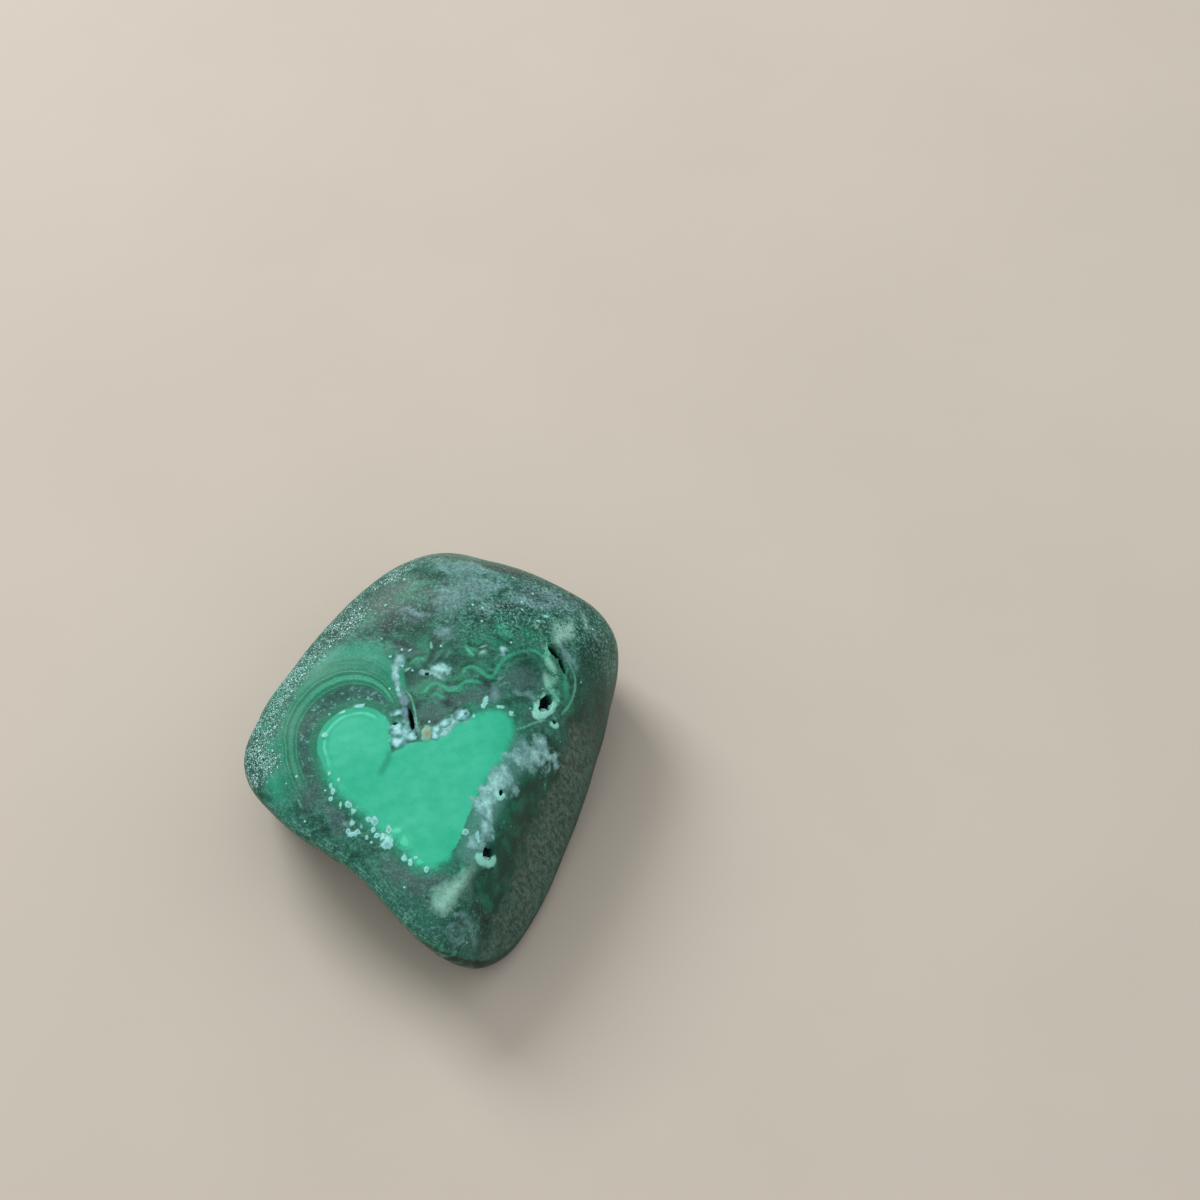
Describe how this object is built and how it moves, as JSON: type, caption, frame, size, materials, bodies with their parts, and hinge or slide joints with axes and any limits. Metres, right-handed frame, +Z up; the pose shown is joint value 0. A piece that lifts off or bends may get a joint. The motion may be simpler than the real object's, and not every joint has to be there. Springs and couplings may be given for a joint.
{
  "type": "tumbled malachite stone",
  "caption": "Tumbled malachite stone, a worn wedge lying on its flat side, with a pale patch, small vugs, a slit and druse crystals on its upper face.",
  "frame": {"origin": "under the middle of the stone, on the surface that it lies on", "axes": "+Z up from the flat foot, +Y towards the broad far edge, -Y towards the narrow near tip, +X towards the steep right side"},
  "size_m": [0.0298, 0.0384, 0.0138],
  "materials": {
    "polished_malachite": "worn tumble polish, dark green with a pale green patch, fine growth lines, frosted edges and whitish crust"
  },
  "bodies": {
    "root": {"malachite_stone": "polished_malachite"}
  },
  "joints": []
}
